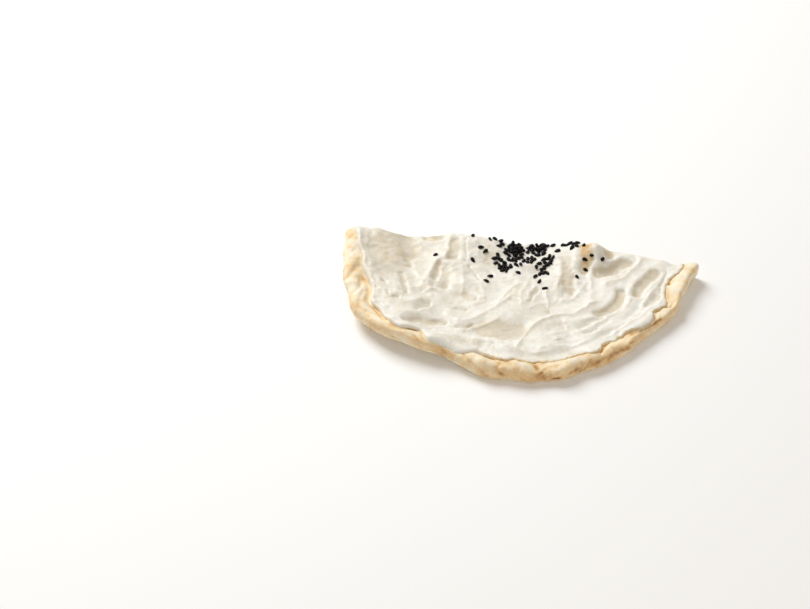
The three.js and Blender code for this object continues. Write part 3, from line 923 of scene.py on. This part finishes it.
# Seeds that lie alone or in short rows
STRAYS = [
    (-32, 8), (-21, 7), (-18, 9), (-14, 8.5), (-26, -1), (-23, -4), (-15, 3), (-13, 6),
    (-30, -12), (-15, -5), (-17, -8), (-15.5, -11), (-12.5, -9), (15, 8), (19, 8.5), (22, 3),
    (25, 8.6), (27, 7.5), (29.5, 8.8), (32, 7.6), (34.5, 8.6), (31, 4), (34, 5), (38.5, 6), (-1, -18),
    (-18, -23), (-20, -28), (17, -30), (36, -18), (41, -11), (40, -5), (13, -24), (10, -20),
    (12.5, -17.5), (15, -15), (17.5, -15.5), (10, -11), (11.5, -8), (15, -11), (15, -7), (19, -5),
    (17.5, -2), (4, -7), (0, -10), (-2.5, -11.5), (-6, -13), (-10, -12.5), (-8.5, -14.5),
    (-11, -17), (-12.5, -14.8), (-8.5, -17.3), (44, -3), (51, -4), (-54, -11),
    (13.5, -13), (16.5, -9), (18.5, -7.5), (14, -4.5), (16.2, -4), (20, -2.5), (13.8, -16),
]


def drawer(state):
    while True:
        state = (state * 1664525 + 1013904223) % 4294967296
        yield state / 4294967296


def scatter(heaps, places, draw, apart):
    """Adds random places in each heap, at least so far apart and not past the cut."""
    for count, x, y, long, wide in heaps:
        made = 0
        for _ in range(40 * count):
            if made >= count:
                break
            spin, reach = 2 * math.pi * next(draw), math.sqrt(next(draw))
            spot = (x + long * reach * math.cos(spin), y + wide * reach * math.sin(spin))
            clear = all(math.hypot(px - spot[0], py - spot[1]) > apart for px, py in places)
            if not clear or spot[1] > bow(spot[0]) - SEED_LENGTH / 3:
                continue
            places.append(spot)
            made += 1
    return places


def spread_height(x, y):
    angle, radius = polar(x, y)
    return spread_top(angle, radius / spread_edge(angle), x, y)


def seeds():
    draw = drawer(5307)
    first = scatter(HEAPS, list(STRAYS), draw, 0.95 * SEED_WIDTH)
    second = scatter(ON_TOP, [], draw, 1.0 * SEED_WIDTH)
    spots = np.array(first + second)
    raised = np.r_[np.zeros(len(first)), np.full(len(second), 1.15)]
    reach = SEED_LENGTH / 3
    x, y = spots[:, 0], spots[:, 1]
    height = spread_height(x, y)
    slope_x = (spread_height(x + reach, y) - spread_height(x - reach, y)) / (2 * reach)
    slope_y = (spread_height(x, y + reach) - spread_height(x, y - reach)) / (2 * reach)
    heap = bmesh.new()
    turn = drawer(77)
    for k in range(len(spots)):
        made = bmesh.ops.create_icosphere(heap, subdivisions=2, radius=0.5)["verts"]
        size = mix(0.86, 1.12, next(turn))
        long, wide, tall = (
            size * SEED_LENGTH * mix(0.9, 1.1, next(turn)),
            size * SEED_WIDTH * mix(0.9, 1.1, next(turn)),
            size * SEED_HEIGHT * mix(0.95, 1.2, next(turn)),
        )
        for vert in made:
            x_at, y_at, z_at = vert.co
            taper = 1 - 0.75 * x_at * abs(x_at) * 2 - 0.25 * x_at
            girth = taper * (1 - 0.1 * abs(math.sin(1.5 * math.atan2(z_at, y_at))))
            vert.co = (x_at * long, y_at * wide * girth, z_at * tall * girth)
        up = Vector((-slope_x[k], -slope_y[k], 1)).normalized()
        tip = (next(turn) - 0.5) * (0.5 if raised[k] == 0 else 1.5)
        lie = Vector((0, 0, 1)).rotation_difference(up).to_matrix().to_4x4()
        spin = Matrix.Rotation(2 * math.pi * next(turn), 4, "Z") @ Matrix.Rotation(tip, 4, "Y")
        lift = SEED_HEIGHT * 0.14 + raised[k] * mix(0.75, 1.1, next(turn))
        at = Matrix.Translation((x[k], y[k], height[k] + lift))
        bmesh.ops.transform(heap, matrix=at @ lie @ spin, verts=made)
    finish_piece(new_object("black_seeds", heap), seed_material(), "labneh", "labneh")


bread()
spread()
seeds()

# ---------------------------------------------------------------- table, light and camera
FLOOR_SIZE = 6.0
FLOOR_DROP = 0.1 * MM  # keeps the table's face apart from the underside of the bread


def floor():
    shape = bmesh.new()
    bmesh.ops.create_grid(shape, x_segments=8, y_segments=8, size=FLOOR_SIZE / 2)
    bmesh.ops.translate(shape, verts=shape.verts[:], vec=(0, 0, -FLOOR_DROP))
    table = new_object("table", shape)
    shader = Shader("white_table")
    shade = shader.ramp(shader.noise(3, 2), [(0.0, (0.93, 0.93, 0.93)), (1.0, (0.95, 0.95, 0.95))])
    shader.set(
        Base_Color=shade, Roughness=0.7, Emission_Color=(1.0, 1.0, 1.0), Emission_Strength=0.06,
    )
    table.data.materials.append(shader.material)


def hang(name, data, at, towards):
    """Adds a light or a camera at a place, looking along a direction."""
    holder = bpy.data.objects.new(name, data)
    holder.location = at
    holder.rotation_mode = "QUATERNION"
    holder.rotation_quaternion = towards.to_track_quat("-Z", "Y")
    scene.collection.objects.link(holder)
    return holder


def lamp(name, at, power, size, colour):
    light = bpy.data.lights.new(name, "AREA")
    light.shape = "DISK"
    light.size = size
    light.energy = power
    light.color = colour
    hang(name, light, at, -Vector(at))


def room(strength, colour):
    world = bpy.data.worlds.new("room")
    world.use_nodes = True
    background = world.node_tree.nodes["Background"]
    background.inputs["Color"].default_value = (*colour, 1)
    background.inputs["Strength"].default_value = strength
    scene.world = world


AIM = Vector((-0.0674, 0.0, 0.0))
AZIMUTH, ELEVATION, DISTANCE = math.radians(7.43), math.radians(45), 1.1891


def camera():
    lens = bpy.data.cameras.new("camera")
    lens.lens = 85
    lens.sensor_width = 36
    lens.clip_start, lens.clip_end = 0.01, 50
    back = Vector((
        math.sin(AZIMUTH) * math.cos(ELEVATION),
        -math.cos(AZIMUTH) * math.cos(ELEVATION),
        math.sin(ELEVATION),
    ))
    scene.camera = hang("camera", lens, AIM + back * DISTANCE, -back)


floor()
lamp("window", (-0.85, 0.8, 1.15), 24.8, 1.0, (0.97, 0.985, 1))
lamp("fill", (0.9, -1.1, 0.5), 3, 1.0, (1, 0.93, 0.82))
room(0.38, (1, 0.935, 0.84))
camera()
scene.view_settings.view_transform = "Standard"
